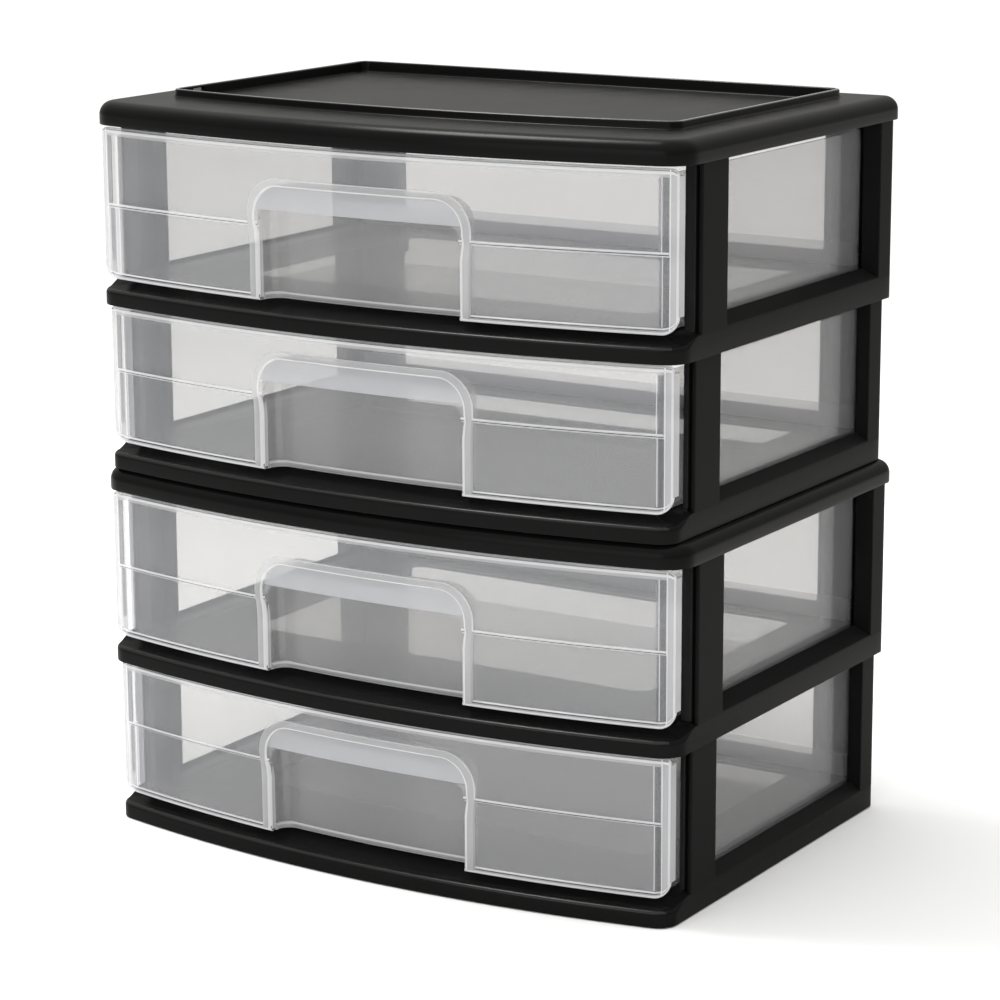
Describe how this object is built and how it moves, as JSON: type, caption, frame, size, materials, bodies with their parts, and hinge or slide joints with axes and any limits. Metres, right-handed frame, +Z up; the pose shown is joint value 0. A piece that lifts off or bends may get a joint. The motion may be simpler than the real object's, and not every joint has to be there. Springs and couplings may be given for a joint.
{
  "type": "plastic drawer tower",
  "caption": "Free-standing black plastic tower of stacked open tiers with clear, bow-fronted pull-out drawers and a rimmed tray lid, for craft supplies and small parts.",
  "frame": {"origin": "centre of the tower's footprint at floor level", "axes": "-Y towards the drawer fronts, +X to the right seen from the front, +Z up"},
  "size_m": [0.365, 0.265, 0.4056],
  "materials": {
    "lid_plastic": "fine satin moulded grain",
    "shelf_plastic": "fine satin moulded grain",
    "frame_plastic": "fine satin moulded grain",
    "drawer_plastic": "clear, slightly milky, glossy"
  },
  "bodies": {
    "lower_unit": {"shelf_1": "shelf_plastic", "left_side_frame_1": "frame_plastic", "right_side_frame_1": "frame_plastic", "back_frame_1": "frame_plastic", "shelf_2": "shelf_plastic", "left_side_frame_2": "frame_plastic", "right_side_frame_2": "frame_plastic", "back_frame_2": "frame_plastic", "lower_lid": "lid_plastic"},
    "upper_unit": {"shelf_3": "shelf_plastic", "left_side_frame_3": "frame_plastic", "right_side_frame_3": "frame_plastic", "back_frame_3": "frame_plastic", "shelf_4": "shelf_plastic", "left_side_frame_4": "frame_plastic", "right_side_frame_4": "frame_plastic", "back_frame_4": "frame_plastic", "upper_lid": "lid_plastic"},
    "drawer_1": {"drawer_1": "drawer_plastic"},
    "drawer_2": {"drawer_2": "drawer_plastic"},
    "drawer_3": {"drawer_3": "drawer_plastic"},
    "drawer_4": {"drawer_4": "drawer_plastic"}
  },
  "joints": [
    {"name": "drawer_1_slide", "type": "slide", "parent": "lower_unit", "child": "drawer_1", "axis": [0, -1, 0], "range_m": [0, 0.18]},
    {"name": "drawer_2_slide", "type": "slide", "parent": "lower_unit", "child": "drawer_2", "axis": [0, -1, 0], "range_m": [0, 0.18]},
    {"name": "drawer_3_slide", "type": "slide", "parent": "upper_unit", "child": "drawer_3", "axis": [0, -1, 0], "range_m": [0, 0.18]},
    {"name": "drawer_4_slide", "type": "slide", "parent": "upper_unit", "child": "drawer_4", "axis": [0, -1, 0], "range_m": [0, 0.18]},
    {"name": "upper_unit_lift", "type": "slide", "parent": "lower_unit", "child": "upper_unit", "axis": [0, 0, 1], "range_m": [0, 0.06]}
  ]
}
